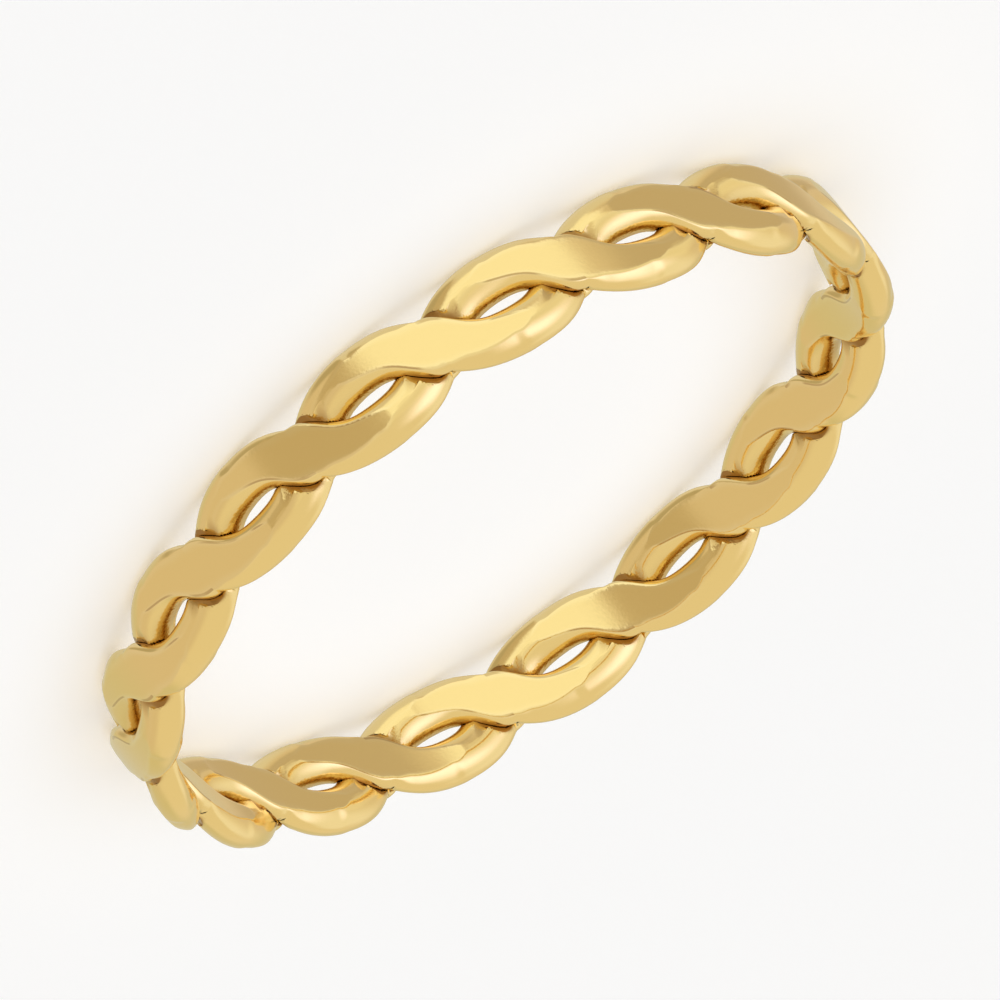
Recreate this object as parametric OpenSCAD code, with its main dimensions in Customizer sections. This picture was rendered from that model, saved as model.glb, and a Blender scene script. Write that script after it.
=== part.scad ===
// Twisted stacking ring, lying on its side. Two round wires are laid round each other in a
// right-handed twist, bent into one round band, and pressed flat on the outside and the inside.
// The crossings are odd in number, so each strand ends where the other one begins, and the two
// close at a single seam. Between the crossings the strands part and leave small eye-shaped gaps.
// +Z runs along the finger, and the origin is under the middle of the band, where it rests.

/* [Band] */
// Diameter of the finger hole, inside the strands
finger_d = 17.3; // [14:0.1:22]
// Height of the band along the finger, from edge to edge
band_h = 2.35; // [2.25:0.05:2.6]
// Thickness of the band between its two pressed faces
band_t = 0.81; // [0.74:0.01:0.85]
// Crossings in the whole round, an odd number
crossings = 17; // [15:2:19]

/* [Strand] */
// Width of a strand across the band's faces
wire_w = 1.04; // [0.96:0.02:1.08]
// Depth of a strand before its faces are pressed
wire_t = 0.88; // [0.86:0.02:0.94]
// Distance that a strand steps out and in of the band's middle as it crosses
weave = 0.2; // [0.16:0.02:0.24]
// Share of the third wave in a strand's swing, which keeps it longer at the edges
edge_share = 0.06; // [0:0.01:0.1]
// Share of the third wave in a strand's step outwards, which makes the crossing short
weave_share = 0.1; // [0:0.05:0.15]

/* [Pressing] */
// How far the press pushes a strand out over the other one, as a share of its half width
spread = 0.28; // [0:0.04:0.32]
// How much narrower a pressed face is on the side away from the other strand
pinch = 0.25; // [0:0.05:0.3]
// How much fuller a strand is on the side towards the other one, as a share of its half width
fullness = 0.025; // [0:0.005:0.04]
// Gap that is left between the strands where they lie against each other
gap = 0.04; // [0.04:0.01:0.06]

/* [Mesh] */
// Sections along a strand from one crossing to the next
sections = 13; // [11:1:13]
// How much closer the sections stand at a crossing than on average
crowding = 0.6; // [0.4:0.05:0.7]

/* [Hidden] */

gold = [0.86, 0.71, 0.40];

// Steps from a strand's pressed face round to the middle of its side
side_steps = 4;

half_w = wire_w / 2;
half_t = wire_t / 2;
press = band_t / 2;
swing = band_h / 2 - half_w;
mid_r = finger_d / 2 + press;
turn_per_degree = crossings / 2;
turn_start = 90;
turn_total = crossings * 180;
section_count = crossings * sections;

// Depth of the shelf on which one strand rests on the other, from the middle of the thickness
lip = 0.03;
shelf = gap / 2 + lip;
// Width that a strand keeps where the other one takes its room
least_width = 0.03;
// Length of shelf over which it takes its full share of the side
shelf_fade = 0.05;
shelf_share = 1 / side_steps;
// Angle round the wire up to which an unpressed strand is round
round_top = 80;

// Turn of the twist at a section: 0 where the strand crosses on the outside, 90 at the upper edge
function turn(i) =
    let (even = turn_start - turn_total * i / section_count)
    even - crowding / 2 * sin(2 * even) * 180 / PI;

// Angle round the finger at which the twist has turned that far
function round_angle(t) = (turn_start - t) / turn_per_degree;

// Middle of the strand's section, as [height, distance outwards] from the middle of the band
function middle(t) = [
    swing * (sin(t) + edge_share * sin(3 * t)) / (1 - edge_share),
    weave * (cos(t) + weave_share * cos(3 * t)) / (1 + weave_share)
];

// Width of the slanting strand measured straight up, as a multiple of its true width
function stretch(t) =
    let (climb = swing * (cos(t) + 3 * edge_share * cos(3 * t)) / (1 - edge_share))
    sqrt(1 + pow(climb * turn_per_degree / mid_r, 2));

// Below, a section is turned over where needed, so that the strand is the upper one of the two,
// and the half that it keeps whole, since it crosses over the other there, has the greater depth.
function rise(t) = abs(middle(t)[0]);
function step(t) = abs(middle(t)[1]);
function share(x) = min(max(x, 0), 1);

// Half of the strand's width at a depth, before the press moves it
function half_width(t, depth) =
    stretch(t) * half_w * sqrt(max(1 - pow((depth - step(t)) / half_t, 2), 0));

// Share of the way from the strand's middle to the press
function pressed_share(t, depth) = share((depth - step(t)) / (press - step(t)));

// Height of the side that faces the other strand, pushed out over it by the press
function near(t, depth) =
    let (
        over = abs(cos(t)),
        across = abs(sin(t)),
        push = spread * min(3.7 * across * pow(over, 5), 1),
        ridge = min(1.25 * pow(over, 2), 1),
        kept = 1 - (1 - ridge) * pow(pressed_share(t, depth), 2)
    )
    rise(t) - half_width(t, depth) * (1 + fullness + push * kept);

// Height of the side that faces away from the other strand
function far(t, depth) =
    let (free = min(3 * abs(sin(t)), 1) * min(5 * abs(cos(t)), 1))
    rise(t) + half_width(t, depth) * (1 - pinch * free * pow(pressed_share(t, depth), 2));

// Height that clears the side of the other strand, which is the mirror of the near side
function other_side(t, depth) = gap * stretch(t) - near(t, -depth);

// Height of the near side where it has made room for the other strand
function clear_side(t, depth) =
    max(near(t, depth), min(other_side(t, depth), far(t, depth) - least_width));

// Depth at which the other strand leaves this one no room, found by halving
function covered(t, depth) = other_side(t, depth) + least_width > far(t, depth);
function halved(t, low, top, n) =
    n == 0 ? top :
    let (half = (low + top) / 2)
    covered(t, half) ? halved(t, half, top, n - 1) : halved(t, low, half, n - 1);
function tip_depth(t, low) =
    !covered(t, low) ? low : covered(t, gap / 2) ? gap / 2 : halved(t, low, gap / 2, 20);

// Angle round the wire, as a share of the angle at which its pressed face starts
function kept_angle(t) = asin((press - step(t)) / half_t);
function yielding_angle(t) = asin(min((press + step(t)) / half_t, sin(round_top)));
function depth_at(t, a) = step(t) + half_t * sin(a * (a >= 0 ? kept_angle(t) : yielding_angle(t)));
function shelf_angle(t) =
    let (from_middle = shelf - step(t))
    asin(from_middle / half_t) / (from_middle >= 0 ? kept_angle(t) : yielding_angle(t));

// Places a point of the section, given by its side and its angle round the wire. The side is -1
// towards the other strand and 1 away from it. The angle is 1 at the kept face and -1 at the other.
function place(t, side, a) =
    let (
        near_corner = near(t, shelf),
        far_corner = clear_side(t, shelf),
        contact = share((far_corner - near_corner) / shelf_fade),
        start = shelf_angle(t) * (side < 0 ? contact : 1),
        top = side < 0 ? start + (1 - start) * a : a,
        on_share = shelf_share * contact,
        on_shelf = side < 0 && a < 0 && -a <= on_share,
        rest = (-a - on_share) / (1 - on_share),
        angle = a >= 0 || side > 0 ? top : start - rest * (start + 1),
        low = depth_at(t, -1),
        free_depth = depth_at(t, angle),
        room = (shelf - tip_depth(t, low)) / (shelf - low),
        depth = on_shelf ? shelf : free_depth < shelf ? shelf - (shelf - free_depth) * room : free_depth,
        height =
            side > 0 ? far(t, depth) :
            on_shelf ? near_corner + (far_corner - near_corner) * -a / on_share :
            depth < shelf ? clear_side(t, depth) : near(t, depth)
    )
    [height, depth];

// Outline of the strand about its own middle, as [side, angle], up one side and down the other
outline = concat(
    [for (i = [-side_steps : side_steps]) [1, i / side_steps]],
    [for (i = [-side_steps : side_steps]) [-1, -i / side_steps]]
);
points_round = len(outline);

// One section of a strand, as [height, distance outwards] from the middle of the band
function section(t) =
    let (m = middle(t), upper = m[0] >= 0 ? 1 : -1, outer = m[1] >= 0 ? 1 : -1)
    [for (p = outline)
        let (q = place(t, upper * p[0], outer * p[1]))
        [upper * q[0], outer * q[1]]];

// A point of the section set upright at its angle round the finger
function placed(p, angle) = [
    (mid_r + p[1]) * cos(angle),
    (mid_r + p[1]) * sin(angle),
    band_h / 2 + p[0]
];

// One strand, once round the finger. The side is 1, or -1 for the strand across the twist from it.
module strand(side) {
    points = [for (i = [0 : section_count])
        let (t = turn(i), angle = round_angle(t))
        for (p = section(t)) placed(side * p, angle)];
    walls = [for (i = [0 : section_count - 1], j = [0 : points_round - 1])
        let (
            a = i * points_round + j,
            b = i * points_round + (j + 1) % points_round,
            c = a + points_round,
            d = b + points_round
        )
        each [[a, d, b], [a, c, d]]];
    first_end = [for (j = [0 : points_round - 1]) (j + side_steps) % points_round];
    last_end = [for (j = first_end) section_count * points_round + points_round - 1 - j];
    polyhedron(points = points, faces = concat(walls, [first_end, last_end]), convexity = 10);
}

module strand_one() {
    color(gold) strand(1);
}

module strand_two() {
    color(gold) strand(-1);
}

strand_one();
strand_two();
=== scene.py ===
"""Twisted stacking ring in polished yellow gold, lying on its side on a pale floor.

Two strands of drawn wire are pressed flat on two sides, laid round each other in a right-handed
twist, and bent into one round band. Each strand is one piece and stands for the CAD node of the
same strand. All sizes are in metres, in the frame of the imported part: +Z runs along the finger,
and the origin is under the middle of the band, where it rests.
"""
import logging
import math
from collections.abc import Callable
from dataclasses import dataclass, field
from enum import Enum

import bpy
import numpy as np
from mathutils import Matrix, Vector


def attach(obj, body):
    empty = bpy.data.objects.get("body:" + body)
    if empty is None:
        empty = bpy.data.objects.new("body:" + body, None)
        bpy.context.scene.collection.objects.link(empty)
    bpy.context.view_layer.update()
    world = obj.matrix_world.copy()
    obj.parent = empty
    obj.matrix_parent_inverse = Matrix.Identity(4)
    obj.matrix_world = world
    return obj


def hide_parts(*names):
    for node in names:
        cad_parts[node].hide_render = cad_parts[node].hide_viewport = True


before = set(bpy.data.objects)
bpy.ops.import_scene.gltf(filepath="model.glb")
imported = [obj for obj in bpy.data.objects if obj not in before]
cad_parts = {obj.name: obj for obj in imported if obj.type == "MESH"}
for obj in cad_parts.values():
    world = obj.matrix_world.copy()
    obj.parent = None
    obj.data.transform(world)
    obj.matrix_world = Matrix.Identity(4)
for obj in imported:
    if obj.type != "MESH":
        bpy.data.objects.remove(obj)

log = logging.getLogger("twisted_ring")
logging.basicConfig(level=logging.INFO, format="%(name)s: %(message)s")

MM = 0.001
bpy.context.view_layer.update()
# Attribute for the ridges' wear and their painted highlight
RIDGE_WEAR_AND_HIGHLIGHT = "ridge_wear_and_highlight"
# Attribute for the satin surface and the painted shade between the strands
SATIN_AND_PAINTED_SHADE = "satin_and_shade"

# A Mix node takes its two colours on the first two of these sockets, and gives the mix on the last.
MIX_A = 6
MIX_B = 7
MIX_RESULT = 2

# These keep a root and a division from failing where a length or a share runs out.
LEAST_SQUARE = 1e-12
LEAST_SHARE = 1e-9


def linear_colour(hex_colour: str) -> tuple[float, float, float, float]:
    """Turns an sRGB hex colour into the linear colour that a shader takes.

    Args:
        hex_colour: six hex digits, such as "fde299".

    Returns:
        Red, green, blue and an alpha of 1.
    """
    channels = [int(hex_colour[i:i + 2], 16) / 255 for i in (0, 2, 4)]
    linear = [c / 12.92 if c <= 0.04045 else ((c + 0.055) / 1.055) ** 2.4 for c in channels]
    return (*linear, 1.0)


def smooth(share: np.ndarray) -> np.ndarray:
    """Eases shares between 0 and 1 in and out, and holds those that lie outside at 0 or 1."""
    held = np.clip(share, 0, 1)
    return held * held * (3 - 2 * held)


def add_node(
    tree: bpy.types.NodeTree,
    kind: str,
    settings: dict[str, object] | None = None,
    inputs: dict[str | int, object] | None = None,
    links: dict[str | int, bpy.types.NodeSocket] | None = None,
) -> bpy.types.Node:
    """Adds one shader node with its settings, input values and links.

    Args:
        tree: the node tree that the node goes into.
        kind: the node's type name.
        settings: properties of the node itself.
        inputs: values of input sockets, by name, or by number where a name stands twice.
        links: output sockets that feed the input sockets, by name or by number.

    Returns:
        The new node.
    """
    node = tree.nodes.new(kind)
    for name, value in (settings or {}).items():
        setattr(node, name, value)
    for name, value in (inputs or {}).items():
        node.inputs[name].default_value = value
    for name, socket in (links or {}).items():
        tree.links.new(socket, node.inputs[name])
    return node


class Lay(Enum):
    """Which of the two places across the twist a strand takes."""

    FIRST = 1
    SECOND = -1


@dataclass(frozen=True)
class TwistSizes:
    """Driving sizes of the twisted band, those of the solids but for the gap, which is narrower."""

    finger_diameter: float = 17.3 * MM
    band_height: float = 2.35 * MM
    band_thickness: float = 0.81 * MM
    crossings: int = 17
    wire_width: float = 1.04 * MM
    wire_depth: float = 0.88 * MM
    weave: float = 0.2 * MM
    weave_share: float = 0.1
    edge_share: float = 0.06
    gap: float = 0.012 * MM

    @property
    def wire_radius(self) -> float:
        """Half of the wire's width, measured along the band's faces."""
        return self.wire_width / 2

    @property
    def wire_reach(self) -> float:
        """Half of the wire's depth before it is pressed."""
        return self.wire_depth / 2

    @property
    def press_depth(self) -> float:
        """Distance from the middle of the band's thickness to each pressed face."""
        return self.band_thickness / 2

    @property
    def blank_flat(self) -> float:
        """Distance from the middle of the straight wire to each of its flats."""
        return self.wire_radius * self.press_depth / self.wire_reach

    @property
    def blank_angle(self) -> float:
        """Angle round the straight wire at which its flats start."""
        return math.asin(self.blank_flat / self.wire_radius)

    @property
    def swing(self) -> float:
        """Distance that a strand's middle swings up and down from the band's middle."""
        return self.band_height / 2 - self.wire_radius

    @property
    def middle_radius(self) -> float:
        """Radius of the line round the finger that the two strands twist about."""
        return self.finger_diameter / 2 + self.press_depth

    @property
    def round_length(self) -> float:
        """Length of the band along that line, once round the finger."""
        return 2 * math.pi * self.middle_radius

    def twist(self, along: np.ndarray) -> np.ndarray:
        """Turns of the twist at distances along the band, 0 where the first strand is outermost."""
        return math.pi / 2 - math.pi * self.crossings * along / self.round_length

    def middle(self, turn: np.ndarray) -> np.ndarray:
        """Middle of the first strand's section, from the middle of the band.

        Args:
            turn: turns of the twist, in radians.

        Returns:
            Rows of height and distance outwards.
        """
        up = (np.sin(turn) + self.edge_share * np.sin(3 * turn)) / (1 - self.edge_share)
        out = (np.cos(turn) + self.weave_share * np.cos(3 * turn)) / (1 + self.weave_share)
        return np.stack([self.swing * up, self.weave * out], axis=1)

    def stretch(self, turn: np.ndarray) -> np.ndarray:
        """Width of the slanting strand measured straight up, as a multiple of its true width.

        Args:
            turn: turns of the twist, in radians.

        Returns:
            One multiple for each turn.
        """
        wave = np.cos(turn) + 3 * self.edge_share * np.cos(3 * turn)
        climb = self.swing * wave / (1 - self.edge_share) * math.pi * self.crossings / self.round_length
        return np.sqrt(1 + climb ** 2)


@dataclass(frozen=True)
class PressedSection:
    """Sections of one strand across the band, at a number of turns of the twist.

    Each section is turned over where needed, so that this strand is the upper one of the two, and its
    kept half, which the press meets where the strand crosses over the other, is the one with the
    greater depth. The other strand is the point mirror of this one.
    """

    sizes: TwistSizes
    turn: np.ndarray
    # How far the press pushes the near side out, how that grows from a crossing and fades, and how
    # far it reaches up to the ridge
    spread: float = 0.28
    spread_climb: float = 3.7
    spread_power: int = 5
    ridge_climb: float = 1.25
    # How far the press draws the far side in, and how that grows from a crossing and fades
    pinch: float = 0.25
    pinch_climb: float = 2.5
    pinch_fade: float = 4
    # How much fuller the near side is, and how that grows from a crossing
    fullness: float = 0.025
    fullness_climb: float = 3
    # Angle past which the press doesn't meet the yielding half, so that its top stays round
    round_top: float = math.radians(80)

    @property
    def rise(self) -> np.ndarray:
        """Height of the strand's middle."""
        return np.abs(self.sizes.middle(self.turn)[:, 0])

    @property
    def step(self) -> np.ndarray:
        """Depth of the strand's middle."""
        return np.abs(self.sizes.middle(self.turn)[:, 1])

    @property
    def across(self) -> np.ndarray:
        """Share of the swing that the strand has made, from 0 at a crossing to 1 at the edge."""
        return np.abs(np.sin(self.turn))

    @property
    def over(self) -> np.ndarray:
        """Share of the way that the strand is over the other, from 0 at the edge to 1."""
        return np.abs(np.cos(self.turn))

    def pressed_share(self, depth: np.ndarray) -> np.ndarray:
        """Share of the way from the wire's middle to the press, on the kept half."""
        return np.clip((depth - self.step) / (self.sizes.press_depth - self.step), 0, 1)

    @property
    def kept_angle(self) -> np.ndarray:
        """Angle round the wire at which its kept half meets the press."""
        return np.arcsin((self.sizes.press_depth - self.step) / self.sizes.wire_reach)

    @property
    def yielding_angle(self) -> np.ndarray:
        """Angle round the wire at which its yielding half meets the press, or stays round."""
        meets = (self.sizes.press_depth + self.step) / self.sizes.wire_reach
        return np.arcsin(np.minimum(meets, math.sin(self.round_top)))

    def half_width(self, depth: np.ndarray) -> np.ndarray:
        """Half of the wire's width, on its slant and before the press moves it.

        Args:
            depth: depths in the band.

        Returns:
            One width for each depth.
        """
        from_middle = (depth - self.step) / self.sizes.wire_reach
        width = self.sizes.stretch(self.turn) * self.sizes.wire_radius
        return width * np.sqrt(np.maximum(1 - from_middle ** 2, 0))

    def near(self, depth: np.ndarray) -> np.ndarray:
        """Height of the side that faces the other strand, which the press pushes out over it.

        Args:
            depth: depths in the band.

        Returns:
            One height for each depth.
        """
        push = self.spread * np.minimum(self.spread_climb * self.across * self.over ** self.spread_power, 1)
        ridge = smooth(self.ridge_climb * self.over ** 2)
        push = push * (1 - (1 - ridge) * self.pressed_share(depth) ** 2)
        fuller = self.fullness * smooth(self.fullness_climb * self.across)
        return self.rise - self.half_width(depth) * (1 + fuller + push)

    def far(self, depth: np.ndarray) -> np.ndarray:
        """Height of the side that faces away from the other strand.

        Args:
            depth: depths in the band.

        Returns:
            One height for each depth.
        """
        free = smooth(self.pinch_climb * self.across) * smooth(self.pinch_fade * self.over)
        pinch = self.pinch * free * self.pressed_share(depth) ** 2
        return self.rise + self.half_width(depth) * (1 - pinch)

    def other_side(self, depth: np.ndarray) -> np.ndarray:
        """Height that clears the side of the other strand, which is the mirror of the near side."""
        return self.sizes.gap * self.sizes.stretch(self.turn) - self.near(-depth)


@dataclass(frozen=True)
class Nesting:
    """How two strands of one twist share the room where they cross.

    The strand that crosses on the outside keeps its whole outer half, and the strand that crosses on
    the inside keeps its whole inner half. Each makes room for the other on its remaining half, and the
    two meet on a shelf at half of the band's thickness.

    A point of the straight wire is given by its side, which is -1 on the side near the other strand, 1
    on the far side and between them on a flat, and by its angle, which is -1 on the yielding flat, 1
    on the kept flat and between them on the round sides.
    """

    sizes: TwistSizes
    # How much of the yielding half's near side lies on the shelf, and the overlap that this takes
    shelf_share: float = 0.25
    shelf_fade: float = 0.08 * MM
    # How far the shelf stands back from the gap, and the least width of the metal beside it
    lip: float = 0.006 * MM
    least_width: float = 0.012 * MM
    # How far the yielding half sinks beside the other strand, how wide, and the overlap it takes
    valley_share: float = 0.3
    valley_width: float = 0.18 * MM
    valley_fade: float = 0.5 * MM
    # Angle past which a point is on the yielding half's top, and the room in which that rounds out
    top_angle: float = -0.999
    round_over: float = 0.03 * MM
    # Depth of a strand's middle from which the ridges of its yielding half are least crisp, how crisp
    # they are then, and how crisp the ridges on the far side are
    soft_step: float = 0.05 * MM
    least_crispness: float = 0.35
    far_crispness: float = 0.6
    # How far the buff is kept off the walls between the strands and painted shade darkens them, which
    # part of a wall is meant, and how that grows from a crossing
    wall_satin_and_shade: float = 0.55
    facing_share: float = 0.5
    wall_reach: float = 0.8
    wall_climb: float = 2.5
    satin_and_shade_climb: float = 6
    # How often the search for the yielding half's end halves what is left
    halvings: int = 30

    @property
    def shelf(self) -> float:
        """Depth of the shelf on which a strand rests."""
        return self.sizes.gap / 2 + self.lip

    def lay(
        self, turn: np.ndarray, width: np.ndarray, thickness: np.ndarray
    ) -> tuple[np.ndarray, np.ndarray, np.ndarray]:
        """Puts points of the straight wire in their places in the band.

        Args:
            turn: turn of the twist at each point, in radians.
            width: distance of each point from the wire's middle, along the flats.
            thickness: distance of each point from the wire's middle, towards the outer flat.

        Returns:
            Rows of height and distance outwards, from the middle of the band, how far the buff is
            kept off each point and painted shade darkens it, and how crisp the press leaves a ridge
            there, both from 0 to 1.
        """
        middle = self.sizes.middle(turn)
        upper = np.where(middle[:, 0] >= 0, 1.0, -1.0)
        outer = np.where(middle[:, 1] >= 0, 1.0, -1.0)
        section = PressedSection(self.sizes, turn)
        radius = self.sizes.wire_radius
        chord = np.sqrt(np.maximum(radius ** 2 - thickness ** 2, LEAST_SQUARE))
        side = upper * width / chord
        angle = np.arcsin(np.clip(outer * thickness / radius, -1, 1)) / self.sizes.blank_angle
        height, depth, sunk = self._place(section, side, angle)
        places = np.stack([upper * height, outer * depth], axis=1)
        return places, self._satin_and_shade(section, side, depth, sunk), self._crispness(section, side, angle)

    def _satin_and_shade(
        self, section: PressedSection, side: np.ndarray, depth: np.ndarray, sunk: np.ndarray
    ) -> np.ndarray:
        """How far the buff is kept off each point, beside the other strand and on the walls.

        Painted shade darkens the metal there by the same share.

        Args:
            section: the strand's section at each point.
            side: each point's side.
            depth: each point's depth in the band.
            sunk: how far each point has sunk beside the other strand.

        Returns:
            Shares, 1 where the buff doesn't reach and the painted shade is darkest.
        """
        facing = smooth((-side - self.facing_share) / (1 - self.facing_share))
        below_ridge = smooth(1 - np.abs(depth) / (self.wall_reach * self.sizes.press_depth))
        walls = self.wall_satin_and_shade * facing * below_ridge * smooth(self.wall_climb * section.across)
        return np.maximum(sunk / self.valley_share, walls) * smooth(self.satin_and_shade_climb * section.across)

    def _crispness(self, section: PressedSection, side: np.ndarray, angle: np.ndarray) -> np.ndarray:
        """How crisp the press leaves a ridge.

        Args:
            section: the strand's section at each point.
            side: each point's side.
            angle: each point's angle.

        Returns:
            Shares, 1 where a ridge is as crisp as any.
        """
        unpressed = smooth(1 - section.step / self.soft_step)
        yielding = self.least_crispness + (1 - self.least_crispness) * unpressed
        return np.where(angle < 0, yielding, 1) * np.where(side < 0, 1, self.far_crispness)

    def _depth(self, section: PressedSection, angle: np.ndarray) -> np.ndarray:
        """Depth of a point on the wire's round, before it makes room for the other strand."""
        reach = np.where(angle >= 0, section.kept_angle, section.yielding_angle)
        return section.step + self.sizes.wire_reach * np.sin(angle * reach)

    def _shelf_angle(self, section: PressedSection) -> np.ndarray:
        """Angle at which the wire's round meets the shelf.

        Args:
            section: the strand's section at each point.

        Returns:
            One angle for each section, as a share of the angle at which the press is met.
        """
        from_middle = self.shelf - section.step
        reach = np.where(from_middle >= 0, section.kept_angle, section.yielding_angle)
        return np.arcsin(from_middle / self.sizes.wire_reach) / reach

    def _place(
        self, section: PressedSection, side: np.ndarray, angle: np.ndarray
    ) -> tuple[np.ndarray, np.ndarray, np.ndarray]:
        """Places points that are given by their side and their angle.

        Args:
            section: the strand's section at each point.
            side: each point's side.
            angle: each point's angle.

        Returns:
            Heights, depths and how far each point has sunk beside the other strand.
        """
        shelf = self.shelf
        is_near = side < 0
        near_corner = section.near(shelf)
        far_corner = self._clear_side(section, shelf)
        contact = smooth((far_corner - near_corner) / self.shelf_fade)
        start = self._shelf_angle(section) * contact
        share = self.shelf_share * contact
        rest = (-angle - share) / (1 - share)
        slid = np.where(angle >= 0, start + (1 - start) * angle, start - rest * (start + 1))
        on_shelf = is_near & (angle < 0) & (-angle <= share)
        free_depth = self._depth(section, np.where(is_near, slid, angle))
        low = self._depth(section, -np.ones_like(angle))
        room = (shelf - self._tip_depth(section, low)) / (shelf - low)
        depth = np.where(free_depth < shelf, shelf - (shelf - free_depth) * room, free_depth)
        sunk = self._valley(section, side, depth, far_corner - near_corner)
        depth = np.where(depth < shelf, shelf - (shelf - depth) * (1 - sunk), depth)
        depth = np.where(on_shelf, shelf, depth)
        depth = depth - self._cap(section, side, angle) * room * (1 - sunk)
        near = np.where(depth < shelf, self._clear_side(section, depth), section.near(depth))
        on_way = np.clip(-angle / np.maximum(share, LEAST_SHARE), 0, 1)
        near = np.where(on_shelf, near_corner + (far_corner - near_corner) * on_way, near)
        height = near + (section.far(depth) - near) * (side + 1) / 2
        return height, depth, np.where(depth < shelf, sunk, 0)

    def _cap(self, section: PressedSection, side: np.ndarray, angle: np.ndarray) -> np.ndarray:
        """How far the yielding half's narrow top is rounded out, where the press doesn't meet it.

        Args:
            section: the strand's section at each point.
            side: each point's side.
            angle: each point's angle.

        Returns:
            Depths, largest in the middle of the top.
        """
        top = math.sin(section.round_top)
        clear = self.sizes.press_depth + section.step - self.sizes.wire_reach * top
        crown = self.sizes.wire_reach * (1 - top) * smooth(clear / self.round_over)
        return np.where(angle < self.top_angle, crown * (1 - side ** 2), 0)

    def _valley(
        self, section: PressedSection, side: np.ndarray, depth: np.ndarray, overlap: np.ndarray
    ) -> np.ndarray:
        """Share by which the yielding half sinks towards the strand that crosses over it.

        Args:
            section: the strand's section at each point.
            side: each point's side.
            depth: depth of each point before it sinks.
            overlap: width of the shelf, over which the strands lie on each other.

        Returns:
            Shares, largest right beside the other strand.
        """
        near = self._clear_side(section, depth)
        from_wall = (section.far(depth) - near) * (side + 1) / 2
        closeness = smooth(1 - from_wall / self.valley_width)
        return self.valley_share * closeness * smooth(overlap / self.valley_fade)

    def _clear_side(self, section: PressedSection, depth: np.ndarray) -> np.ndarray:
        """Height of the near side where it has made room for the other strand."""
        clear = np.minimum(section.other_side(depth), section.far(depth) - self.least_width)
        return np.maximum(section.near(depth), clear)

    def _tip_depth(self, section: PressedSection, low: np.ndarray) -> np.ndarray:
        """Depth at which the yielding half runs out, where the other strand reaches its far side.

        Args:
            section: the strand's section at each point.
            low: depth of the yielding half's end where nothing is in its way.

        Returns:
            Depths, found by halving.
        """
        top = np.full_like(low, self.sizes.gap / 2)
        bottom = low.copy()

        def covered(depth: np.ndarray) -> np.ndarray:
            """Whether the other strand fills the room at a depth."""
            return section.other_side(depth) + self.least_width > section.far(depth)

        free = ~covered(low)
        full = covered(top)
        for _ in range(self.halvings):
            half = (top + bottom) / 2
            is_covered = covered(half)
            bottom = np.where(is_covered, half, bottom)
            top = np.where(is_covered, top, half)
        return np.where(free, low, np.where(full, self.sizes.gap / 2, top))


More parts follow.
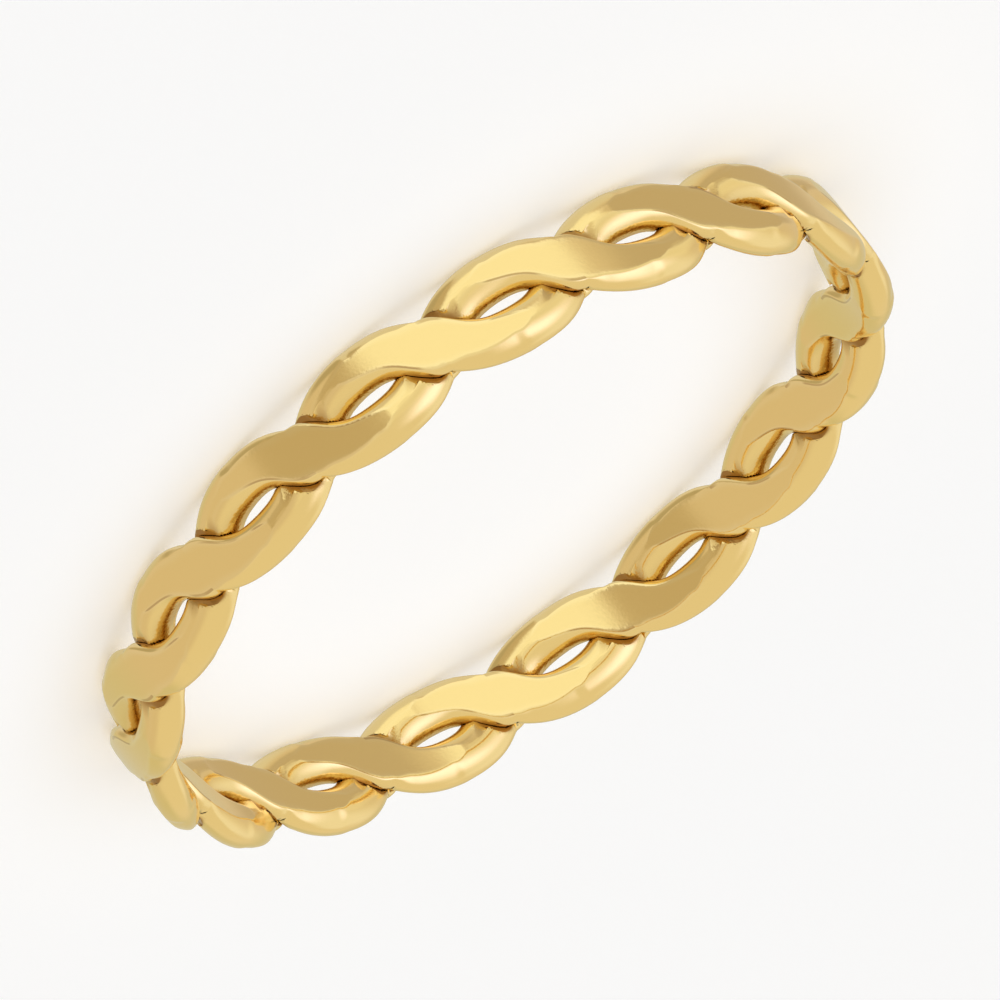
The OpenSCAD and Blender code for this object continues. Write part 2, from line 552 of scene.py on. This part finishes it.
@dataclass
class DrawnWire:
    """A straight length of round wire, pressed flat on two sides and lying along X."""

    name: str
    sizes: TwistSizes
    facets: int = 48
    ridge_softness: float = 0.035 * MM
    ridge_segments: int = 5
    flat_strips: int = 14
    sections_per_crossing: int = 69
    same_place: float = 1e-7

    def build(self) -> bpy.types.Object:
        """Draws the wire, presses it, softens its ridges and divides it along its length.

        Returns:
            The wire, from X = 0 to the length of the band.
        """
        wire = self._draw()
        bpy.ops.object.mode_set(mode="EDIT")
        bpy.ops.mesh.select_mode(type="EDGE")
        for outwards in (1, -1):
            self._press_flat(outwards)
        self._soften_ridges(wire)
        self._divide_flats(wire)
        self._divide_length(wire)
        bpy.ops.object.mode_set(mode="OBJECT")
        return wire

    def _draw(self) -> bpy.types.Object:
        """Draws the round wire, with one end at the origin.

        Returns:
            The round wire.
        """
        bpy.ops.object.select_all(action="DESELECT")
        bpy.ops.mesh.primitive_cylinder_add(
            vertices=self.facets,
            radius=self.sizes.wire_radius,
            depth=self.sizes.round_length,
            end_fill_type="NGON",
            location=(self.sizes.round_length / 2, 0, 0),
            rotation=(0, math.pi / 2, 0),
        )
        bpy.ops.object.transform_apply(location=True, rotation=True, scale=True)
        wire = bpy.context.object
        wire.name = self.name
        wire.data.name = self.name
        return wire

    def _press_flat(self, outwards: int) -> None:
        """Cuts the wire's round back to a flat.

        Args:
            outwards: 1 for the flat that faces away from the finger, -1 for the other.
        """
        bpy.ops.mesh.select_all(action="SELECT")
        bpy.ops.mesh.bisect(
            plane_co=(0, -outwards * self.sizes.blank_flat, 0),
            plane_no=(0, -outwards, 0),
            use_fill=True,
            clear_outer=True,
            threshold=self.same_place,
        )

    def _select_edges(self, wire: bpy.types.Object, wanted: Callable[[Vector, Vector], bool]) -> None:
        """Selects the edges whose two ends answer a test, and no others.

        Args:
            wire: the piece, in edit mode.
            wanted: takes the two end points and says whether the edge is selected.
        """
        bpy.ops.mesh.select_all(action="DESELECT")
        bpy.ops.object.mode_set(mode="OBJECT")
        points = wire.data.vertices
        for edge in wire.data.edges:
            start, end = edge.vertices
            edge.select = wanted(points[start].co, points[end].co)
        bpy.ops.object.mode_set(mode="EDIT")

    @staticmethod
    def _runs_along(start: Vector, end: Vector) -> bool:
        """Whether an edge runs along the wire, and not round it or across a flat."""
        return abs(start.x - end.x) > MM

    def _on_flat(self, start: Vector, end: Vector) -> bool:
        """Whether both ends of an edge lie on the flats."""
        return all(abs(abs(point.y) - self.sizes.blank_flat) < self.same_place for point in (start, end))

    def _soften_ridges(self, wire: bpy.types.Object) -> None:
        """Rounds the four long ridges between the flats and the round sides.

        Args:
            wire: the piece, in edit mode.
        """
        self._select_edges(
            wire, lambda start, end: self._runs_along(start, end) and self._on_flat(start, end)
        )
        bpy.ops.mesh.bevel(
            offset=self.ridge_softness,
            offset_type="OFFSET",
            segments=self.ridge_segments,
            profile=0.5,
        )

    def _divide_flats(self, wire: bpy.types.Object) -> None:
        """Divides each flat into long strips, so that it takes the twist evenly.

        Args:
            wire: the piece, in edit mode.
        """
        self._select_edges(
            wire, lambda start, end: not self._runs_along(start, end) and self._on_flat(start, end)
        )
        bpy.ops.mesh.subdivide(number_cuts=self.flat_strips - 1)

    def _divide_length(self, wire: bpy.types.Object) -> None:
        """Divides the wire by its crossings, and each stretch into sections that take its bends.

        Args:
            wire: the piece, in edit mode.
        """
        for parts in (self.sizes.crossings, self.sections_per_crossing):
            self._select_edges(wire, self._runs_along)
            bpy.ops.mesh.subdivide(number_cuts=parts - 1)


@dataclass
class Strand:
    """One strand of the band, from the wire to its place round the finger."""

    name: str
    node: str
    lay: Lay
    sizes: TwistSizes
    ridge_reach: float = 0.08 * MM
    sharp_fold: float = math.radians(75)
    piece: bpy.types.Object | None = None

    def build(self) -> bpy.types.Object:
        """Makes the strand in the order in which it is made at the bench.

        Returns:
            The finished piece, in the place of its CAD node.
        """
        self.piece = DrawnWire(self.name, self.sizes).build()
        self._lay_in_twist()
        self._bend_round_finger()
        return self.piece

    def _lay_in_twist(self) -> None:
        """Swings the wire up and down the band, and presses it clear of the other strand."""
        mesh = self.piece.data
        points = np.empty(len(mesh.vertices) * 3, np.float32)
        mesh.vertices.foreach_get("co", points)
        points = points.reshape(-1, 3).astype(float)
        near_ridge = self._ridge_closeness(points)
        turn = self.sizes.twist(points[:, 0])
        laid, satin_and_shade, crispness = Nesting(self.sizes).lay(turn, points[:, 2], -points[:, 1])
        laid = self.lay.value * laid
        # The ridges' wear and painted highlight, less where the press leaves a ridge soft
        self._keep(RIDGE_WEAR_AND_HIGHLIGHT, near_ridge * crispness)
        # Where the metal keeps a satin surface and painted shade darkens it, between the strands
        self._keep(SATIN_AND_PAINTED_SHADE, satin_and_shade)
        points[:, 1] = -laid[:, 1]
        points[:, 2] = self.sizes.band_height / 2 + laid[:, 0]
        mesh.vertices.foreach_set("co", points.astype(np.float32).ravel())
        mesh.update()

    def _ridge_closeness(self, points: np.ndarray) -> np.ndarray:
        """How close each point lies to a ridge, for the ridges' wear and their painted highlight.

        Args:
            points: places of the straight wire's points.

        Returns:
            Shares, 1 on a ridge.
        """
        flat = self.sizes.blank_flat
        ridge_width = math.sqrt(self.sizes.wire_radius ** 2 - flat ** 2)
        apart = np.hypot(np.abs(points[:, 1]) - flat, np.abs(points[:, 2]) - ridge_width)
        return smooth(1 - apart / self.ridge_reach)

    def _keep(self, name: str, values: np.ndarray) -> None:
        """Keeps a number on each point of the piece, in an attribute of this name."""
        layer = self.piece.data.attributes.new(name, "FLOAT", "POINT")
        layer.data.foreach_set("value", values.astype(np.float32))

    def _bend_round_finger(self) -> None:
        """Bends the laid strand into a round and puts its seam at the solids' seam."""
        bend = self.piece.modifiers.new("round", "SIMPLE_DEFORM")
        bend.deform_method = "BEND"
        bend.deform_axis = "Z"
        bend.angle = 2 * math.pi
        bpy.ops.object.modifier_apply(modifier=bend.name)
        to_middle = Matrix.Translation((0, -self.sizes.middle_radius, 0))
        self.piece.data.transform(Matrix.Rotation(math.pi / 2, 4, "Z") @ to_middle)

    def dress(self, finish: bpy.types.Material) -> None:
        """Gives the strand its finish, and hands it to the frame in place of its node.

        Args:
            finish: the gold's material.
        """
        bpy.ops.object.select_all(action="DESELECT")
        self.piece.select_set(True)
        bpy.context.view_layer.objects.active = self.piece
        bpy.ops.object.shade_smooth_by_angle(angle=self.sharp_fold)
        self.piece.data.materials.clear()
        self.piece.data.materials.append(finish)
        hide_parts(self.node)
        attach(self.piece, "root")


@dataclass(frozen=True)
class Pattern:
    """A noise pattern: the size of its marks, how many finer ones lie in them, and how strongly."""

    size: float
    detail: float
    fine_share: float


@dataclass(frozen=True)
class Marks:
    """What the gold's roughness, relief and colour are worked out from, as node outputs."""

    grain: bpy.types.NodeSocket
    waves: bpy.types.NodeSocket
    nicks: bpy.types.NodeSocket
    ridge: bpy.types.NodeSocket
    satin_and_shade: bpy.types.NodeSocket


@dataclass(frozen=True)
class PolishedGold:
    """Yellow gold of 14 carats, drawn, pressed, tumbled and then buffed by hand.

    A soft wheel leaves a mirror with a faint grain of fine buffing marks, and slow waves that the eye
    sees as reflections that drift a little off their line. The wheel rides on the ridges, so they are
    the smoothest, and a painted highlight lightens their colour. It doesn't reach into the crossings,
    where the metal keeps a satin surface, and painted shade darkens the crossings and the walls between
    the strands.
    """

    colour: str = "fde299"
    # Painted highlight: the ridges are lightened towards this paler gold
    painted_highlight_colour: str = "ffe9a8"
    # Colour of the painted shade between the strands, and of the painted dark line on the ridges
    painted_shade_colour: str = "ac8144"
    roughness: float = 0.12
    satin_roughness: float = 0.18
    ridge_roughness: float = 0.08
    # A real buffing mark is a hundredth of the grain's width, far too fine to show.
    grain: Pattern = Pattern(0.06 * MM, detail=3.0, fine_share=0.35)
    grain_height: float = 0.0007 * MM
    # How much rougher the metal is in the grain, and the stretch of its noise over which it gets so
    grain_roughness: float = 1.35
    grain_range: tuple[float, float] = (0.35, 0.7)
    waves: Pattern = Pattern(0.9 * MM, detail=1.0, fine_share=0.4)
    wave_height: float = 0.004 * MM
    nicks: Pattern = Pattern(0.08 * MM, detail=2.0, fine_share=0.5)
    nick_height: float = 0.045 * MM
    ridge_nicks: float = 0.08
    # How deep into the satin between the strands the wheel still reaches, where 1 is all the way
    wheel_reach: float = 1.1
    # How dark the line of painted reflection on the ridges is, how close to a ridge it lies, and the
    # heights of the waves it shows on
    painted_line_share: float = 0.5
    painted_line_range: tuple[float, float] = (0.7, 0.9)
    painted_line_waves: tuple[float, float] = (0.46, 0.58)

    def material(self) -> bpy.types.Material:
        """Builds the gold's node material.

        Returns:
            The material.
        """
        material = bpy.data.materials.new("polished_gold")
        material.use_nodes = True
        tree = material.node_tree
        tree.nodes.clear()
        marks = self._marks(tree)
        shader = add_node(
            tree,
            "ShaderNodeBsdfPrincipled",
            inputs={"Metallic": 1.0},
            links={
                "Base Color": self._tone(tree, marks),
                "Roughness": self._buffed_roughness(tree, marks),
                "Normal": self._relief(tree, marks),
            },
        )
        add_node(tree, "ShaderNodeOutputMaterial", links={"Surface": shader.outputs["BSDF"]})
        return material

    def _marks(self, tree: bpy.types.NodeTree) -> Marks:
        """Adds the grain, the waves and the nicks, and reads two attributes of the mesh.

        One holds the ridges' wear and painted highlight, the other the satin surface and the painted
        shade between the strands.

        Args:
            tree: the gold's node tree.

        Returns:
            The nodes' outputs.
        """
        place = add_node(tree, "ShaderNodeTexCoord").outputs["Object"]
        grain, waves, nicks = (
            add_node(
                tree,
                "ShaderNodeTexNoise",
                inputs={
                    "Scale": 1 / pattern.size,
                    "Detail": pattern.detail,
                    "Roughness": pattern.fine_share,
                },
                links={"Vector": place},
            ).outputs["Fac"]
            for pattern in (self.grain, self.waves, self.nicks)
        )
        ridge, satin_and_shade = (
            add_node(tree, "ShaderNodeAttribute", {"attribute_name": name}).outputs["Fac"]
            for name in (RIDGE_WEAR_AND_HIGHLIGHT, SATIN_AND_PAINTED_SHADE)
        )
        return Marks(grain, waves, nicks, ridge, satin_and_shade)

    def _buffed_roughness(self, tree: bpy.types.NodeTree, marks: Marks) -> bpy.types.NodeSocket:
        """Roughness that follows the grain, least on the ridges and most in the satin between the strands.

        Args:
            tree: the gold's node tree.
            marks: what the roughness is worked out from.

        Returns:
            The roughness.
        """
        buffed = add_node(
            tree,
            "ShaderNodeMapRange",
            inputs={
                "From Min": self.grain_range[0],
                "From Max": self.grain_range[1],
                "To Min": self.roughness,
                "To Max": self.roughness * self.grain_roughness,
            },
            links={"Value": marks.grain},
        )
        rubbed = add_node(
            tree,
            "ShaderNodeMix",
            inputs={"B": self.ridge_roughness},
            links={"Factor": marks.ridge, "A": buffed.outputs["Result"]},
        )
        satin = add_node(
            tree,
            "ShaderNodeMix",
            inputs={"B": self.satin_roughness},
            links={"Factor": marks.satin_and_shade, "A": rubbed.outputs["Result"]},
        )
        return satin.outputs["Result"]

    def _relief(self, tree: bpy.types.NodeTree, marks: Marks) -> bpy.types.NodeSocket:
        """Waves, nicks and grain as a normal.

        Args:
            tree: the gold's node tree.
            marks: what the relief is worked out from.

        Returns:
            The normal.
        """
        slow = add_node(
            tree,
            "ShaderNodeBump",
            inputs={"Strength": 1.0, "Distance": self.wave_height},
            links={"Height": marks.waves},
        )
        # The wheel catches the walls of the gaps and leaves nicks there, but not deeper in.
        reached = add_node(
            tree, "ShaderNodeMath", {"operation": "SUBTRACT"}, {0: self.wheel_reach}, {1: marks.satin_and_shade}
        )
        on_walls = add_node(
            tree,
            "ShaderNodeMath",
            {"operation": "MULTIPLY"},
            links={0: marks.satin_and_shade, 1: reached.outputs[0]},
        )
        nick_strength = add_node(
            tree,
            "ShaderNodeMath",
            {"operation": "MULTIPLY_ADD"},
            {1: self.ridge_nicks},
            {0: marks.ridge, 2: on_walls.outputs[0]},
        )
        nicked = add_node(
            tree,
            "ShaderNodeBump",
            inputs={"Distance": self.nick_height},
            links={
                "Strength": nick_strength.outputs[0],
                "Height": marks.nicks,
                "Normal": slow.outputs["Normal"],
            },
        )
        fine = add_node(
            tree,
            "ShaderNodeBump",
            inputs={"Strength": 1.0, "Distance": self.grain_height},
            links={"Height": marks.grain, "Normal": nicked.outputs["Normal"]},
        )
        return fine.outputs["Normal"]

    def _tone(self, tree: bpy.types.NodeTree, marks: Marks) -> bpy.types.NodeSocket:
        """Metal colour, with a painted highlight on the ridges and painted shade between the strands.

        Args:
            tree: the gold's node tree.
            marks: what the colour is worked out from.

        Returns:
            The colour.
        """
        # Painted highlight: the ridges are lightened towards a paler gold.
        painted_highlight = add_node(
            tree,
            "ShaderNodeMix",
            {"data_type": "RGBA"},
            {MIX_A: linear_colour(self.colour), MIX_B: linear_colour(self.painted_highlight_colour)},
            {"Factor": marks.ridge},
        )
        # Painted reflection: a dark line painted along the ridges here and there.
        on_line = add_node(
            tree,
            "ShaderNodeMapRange",
            {"interpolation_type": "SMOOTHSTEP"},
            {
                "From Min": self.painted_line_range[0],
                "From Max": self.painted_line_range[1],
                "To Max": self.painted_line_share,
            },
            {"Value": marks.ridge},
        )
        here = add_node(
            tree,
            "ShaderNodeMapRange",
            {"interpolation_type": "SMOOTHSTEP"},
            {"From Min": self.painted_line_waves[0], "From Max": self.painted_line_waves[1]},
            {"Value": marks.waves},
        )
        painted_line = add_node(
            tree,
            "ShaderNodeMath",
            {"operation": "MULTIPLY"},
            links={0: on_line.outputs["Result"], 1: here.outputs["Result"]},
        )
        # Painted shade: the metal between the strands and the dark line on the ridges take the shade
        # colour.
        painted_dark = add_node(
            tree, "ShaderNodeMath", {"operation": "MAXIMUM"}, links={0: painted_line.outputs[0], 1: marks.satin_and_shade}
        )
        tone = add_node(
            tree,
            "ShaderNodeMix",
            {"data_type": "RGBA"},
            {MIX_B: linear_colour(self.painted_shade_colour)},
            {"Factor": painted_dark.outputs[0], MIX_A: painted_highlight.outputs[MIX_RESULT]},
        )
        return tone.outputs[MIX_RESULT]


@dataclass
class TwistedRing:
    """The whole ring: two strands of one twist."""

    sizes: TwistSizes = field(default_factory=TwistSizes)
    finish: PolishedGold = field(default_factory=PolishedGold)

    def build(self) -> list[bpy.types.Object]:
        """Builds and dresses both strands.

        Returns:
            The two pieces.
        """
        gold = self.finish.material()
        strands = (
            Strand("pressed_strand_one", "strand_one", Lay.FIRST, self.sizes),
            Strand("pressed_strand_two", "strand_two", Lay.SECOND, self.sizes),
        )
        for strand in strands:
            strand.build()
            strand.dress(gold)
        return [strand.piece for strand in strands]


@dataclass
class PaleFloor:
    """The plain pale surface that the ring lies on."""

    half_width: float = 4.0
    colour: str = "ffffff"
    roughness: float = 0.6

    def build(self) -> bpy.types.Object:
        """Makes the floor.

        Returns:
            The floor.
        """
        bpy.ops.object.select_all(action="DESELECT")
        bpy.ops.mesh.primitive_plane_add(size=2 * self.half_width)
        floor = bpy.context.object
        floor.name = "pale_floor"
        floor.data.materials.append(self._card())
        # The gold mirrors the room below the horizon in place of the floor.
        floor.visible_glossy = False
        return floor

    def _card(self) -> bpy.types.Material:
        """Builds the floor's material, a matt white card that shows soft shadows alone.

        Returns:
            The material.
        """
        material = bpy.data.materials.new("pale_card")
        material.use_nodes = True
        tree = material.node_tree
        tree.nodes.clear()
        shader = add_node(
            tree,
            "ShaderNodeBsdfPrincipled",
            inputs={"Base Color": linear_colour(self.colour), "Roughness": self.roughness},
        )
        add_node(tree, "ShaderNodeOutputMaterial", links={"Surface": shader.outputs["BSDF"]})
        return material


@dataclass(frozen=True)
class RingCamera:
    """A long lens that looks down on the band from the photo's angle, turned as the photo is.

    Its angles are in degrees, its lens and sensor in millimetres, and the place of the ring's middle
    in pixels of the picture.
    """

    azimuth: float = 101.16
    elevation: float = 21.95
    roll: float = 141.94
    distance: float = 364.7 * MM
    lens: float = 629.9
    sensor: float = 36
    nearest: float = 0.01
    farthest: float = 20
    picture_side: float = 1000
    ring_middle: tuple[float, float] = (500.1, 508.9)

    def build(self, target: Vector) -> bpy.types.Object:
        """Makes the camera and makes it the scene's own.

        Args:
            target: the ring's middle, which the camera turns about.

        Returns:
            The camera.
        """
        data = bpy.data.cameras.new("ring_camera")
        camera = bpy.data.objects.new("ring_camera", data)
        bpy.context.scene.collection.objects.link(camera)
        turn = math.radians(self.azimuth)
        lift = math.radians(self.elevation)
        back = Vector((math.cos(lift) * math.cos(turn), math.cos(lift) * math.sin(turn), math.sin(lift)))
        level = (-back).to_track_quat("-Z", "Y").to_matrix().to_4x4()
        rolled = level @ Matrix.Rotation(math.radians(self.roll), 4, "Z")
        camera.matrix_world = Matrix.Translation(target + back * self.distance) @ rolled
        data.lens = self.lens
        data.sensor_width = self.sensor
        data.shift_x = (self.picture_side / 2 - self.ring_middle[0]) / self.picture_side
        data.shift_y = (self.ring_middle[1] - self.picture_side / 2) / self.picture_side
        data.clip_start = self.nearest
        data.clip_end = self.farthest
        bpy.context.scene.camera = camera
        return camera


@dataclass(frozen=True)
class Panel:
    """A part of the room's wall, as the gold mirrors it: a softbox, a pale wall or a dark flag.

    Its place and sizes are angles in degrees, seen from the ring. Sizes are given as width and height.
    """

    azimuth: float
    elevation: float
    half_size: tuple[float, float]
    soft_edge: tuple[float, float]
    colour: str
    gain: float = 1.0

    def hang(
        self,
        tree: bpy.types.NodeTree,
        turn: bpy.types.NodeSocket,
        lift: bpy.types.NodeSocket,
        behind: bpy.types.NodeSocket,
    ) -> bpy.types.NodeSocket:
        """Hangs the panel in front of what is already there.

        Args:
            tree: the world's node tree.
            turn: azimuth of the direction that is looked in, in radians.
            lift: its elevation, in radians.
            behind: colour of the wall behind the panel.

        Returns:
            The colour of the wall with the panel on it.
        """
        beside = self._distance(tree, turn, self.azimuth, wraps=True)
        above = self._distance(tree, lift, self.elevation, wraps=False)
        across = self._cover(tree, beside, self.half_size[0], self.soft_edge[0])
        upright = self._cover(tree, above, self.half_size[1], self.soft_edge[1])
        cover = add_node(tree, "ShaderNodeMath", {"operation": "MULTIPLY"}, links={0: across, 1: upright})
        red, green, blue, _ = linear_colour(self.colour)
        lit = (red * self.gain, green * self.gain, blue * self.gain, 1.0)
        wall = add_node(
            tree,
            "ShaderNodeMix",
            {"data_type": "RGBA"},
            {MIX_B: lit},
            {"Factor": cover.outputs[0], MIX_A: behind},
        )
        return wall.outputs[MIX_RESULT]

    def _distance(
        self, tree: bpy.types.NodeTree, angle: bpy.types.NodeSocket, middle: float, wraps: bool
    ) -> bpy.types.NodeSocket:
        """Angle between a direction and the panel's middle.

        Args:
            tree: the world's node tree.
            angle: the direction's angle, in radians.
            middle: the panel's middle, in degrees.
            wraps: whether the angle starts again after a full turn.

        Returns:
            The angle between them, never negative, in radians.
        """
        apart = add_node(
            tree, "ShaderNodeMath", {"operation": "SUBTRACT"}, {1: math.radians(middle)}, {0: angle}
        )
        if wraps:
            apart = add_node(
                tree,
                "ShaderNodeMath",
                {"operation": "WRAP"},
                {1: math.pi, 2: -math.pi},
                {0: apart.outputs[0]},
            )
        size = add_node(tree, "ShaderNodeMath", {"operation": "ABSOLUTE"}, links={0: apart.outputs[0]})
        return size.outputs[0]

    def _cover(
        self, tree: bpy.types.NodeTree, distance: bpy.types.NodeSocket, half: float, soft: float
    ) -> bpy.types.NodeSocket:
        """Share of the wall that the panel hides, from 1 on the panel to 0 past its soft edge.

        Args:
            tree: the world's node tree.
            distance: angle from the panel's middle, in radians.
            half: half of the panel's size, in degrees.
            soft: width of its soft edge, in degrees.

        Returns:
            The share.
        """
        return add_node(
            tree,
            "ShaderNodeMapRange",
            {"interpolation_type": "SMOOTHSTEP"},
            {
                "From Min": math.radians(half),
                "From Max": math.radians(half + soft),
                "To Min": 1.0,
                "To Max": 0.0,
            },
            {"Value": distance},
        ).outputs["Result"]


@dataclass(frozen=True)
class Room:
    """The soft room that the gold mirrors, plain above and below, with panels hung in it."""

    upper_colour: str = "e5ddd0"
    lower_colour: str = "dacec2"
    lower_edge: float = 2.0
    upper_edge: float = 22.0
    panels: tuple[Panel, ...] = (
        # Wall on the far side
        Panel(azimuth=265, elevation=-18, half_size=(32, 30), soft_edge=(25, 20), colour="d3ceb8"),
        # Pale floor card below, and the dark table edge across from it
        Panel(azimuth=0, elevation=-74, half_size=(85, 14), soft_edge=(20, 12), colour="dfdcda"),
        Panel(azimuth=180, elevation=-84, half_size=(60, 16), soft_edge=(25, 10), colour="b8ae9b"),
        # Pale wall along the horizon
        Panel(azimuth=50, elevation=-2, half_size=(55, 15), soft_edge=(14, 5), colour="ebe5d8"),
        # Glow beside the upper softbox, and the softbox
        Panel(azimuth=340, elevation=42, half_size=(22, 8), soft_edge=(30, 24), colour="f1eff1"),
        Panel(azimuth=42, elevation=36, half_size=(8, 4), soft_edge=(44, 30), colour="dfdfff", gain=1.75),
        # Two dark flags, and the lower softbox between them
        Panel(azimuth=126, elevation=-50, half_size=(15, 31), soft_edge=(5, 9), colour="c4b6a2"),
        Panel(azimuth=358, elevation=-30, half_size=(34, 11), soft_edge=(10, 9), colour="c4b8ac"),
        Panel(azimuth=76, elevation=-38, half_size=(28, 19), soft_edge=(6, 10), colour="fffff9", gain=1.02),
    )

    def build(self) -> None:
        """Makes the world from the room's walls and panels."""
        world = bpy.data.worlds.new("studio_room")
        bpy.context.scene.world = world
        world.use_nodes = True
        tree = world.node_tree
        tree.nodes.clear()
        looked_at = add_node(tree, "ShaderNodeTexCoord").outputs["Generated"]
        parts = add_node(tree, "ShaderNodeSeparateXYZ", links={"Vector": looked_at})
        turn = add_node(
            tree,
            "ShaderNodeMath",
            {"operation": "ARCTAN2"},
            links={0: parts.outputs["Y"], 1: parts.outputs["X"]},
        )
        lift = add_node(tree, "ShaderNodeMath", {"operation": "ARCSINE"}, links={0: parts.outputs["Z"]})
        rise = add_node(
            tree,
            "ShaderNodeMapRange",
            {"interpolation_type": "SMOOTHSTEP"},
            {"From Min": math.radians(self.lower_edge), "From Max": math.radians(self.upper_edge)},
            {"Value": lift.outputs[0]},
        )
        wall = add_node(
            tree,
            "ShaderNodeMix",
            {"data_type": "RGBA"},
            {MIX_A: linear_colour(self.lower_colour), MIX_B: linear_colour(self.upper_colour)},
            {"Factor": rise.outputs["Result"]},
        )
        colour = wall.outputs[MIX_RESULT]
        for panel in self.panels:
            colour = panel.hang(tree, turn.outputs[0], lift.outputs[0], colour)
        background = add_node(tree, "ShaderNodeBackground", links={"Color": colour})
        add_node(tree, "ShaderNodeOutputWorld", links={"Surface": background.outputs["Background"]})
        # The room shows in the gold alone, and the lights overhead light the floor.
        world.cycles_visibility.diffuse = False


@dataclass(frozen=True)
class FloorLight:
    """A wide soft light straight overhead, which lights the floor and isn't mirrored in the gold."""

    name: str
    watts: float
    casts_shadow: bool
    side: float = 1.6
    height: float = 0.5

    def build(self) -> None:
        """Hangs the light over the ring."""
        data = bpy.data.lights.new(self.name, "AREA")
        data.size = self.side
        data.energy = self.watts
        data.use_shadow = self.casts_shadow
        light = bpy.data.objects.new(self.name, data)
        light.location = (0, 0, self.height)
        light.visible_glossy = False
        light.visible_camera = False
        bpy.context.scene.collection.objects.link(light)


@dataclass
class Studio:
    """Floor, light and camera."""

    floor: PaleFloor = field(default_factory=PaleFloor)
    camera: RingCamera = field(default_factory=RingCamera)
    room: Room = field(default_factory=Room)
    floor_lights: tuple[FloorLight, ...] = (
        FloorLight("floor_light", watts=6.2, casts_shadow=True),
        FloorLight("floor_fill", watts=12.5, casts_shadow=False),
    )

    def build(self, middle: Vector) -> None:
        """Builds the studio round the ring.

        Args:
            middle: the middle of the ring.
        """
        self.floor.build()
        self.camera.build(middle)
        self.room.build()
        for light in self.floor_lights:
            light.build()
        bpy.context.scene.view_settings.view_transform = "Standard"


def main() -> None:
    """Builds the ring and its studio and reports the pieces."""
    sizes = TwistSizes()
    for piece in TwistedRing(sizes).build():
        log.info("%s: %d faces", piece.name, len(piece.data.polygons))
    Studio().build(Vector((0, 0, sizes.band_height / 2)))


if __name__ == "__main__":
    main()
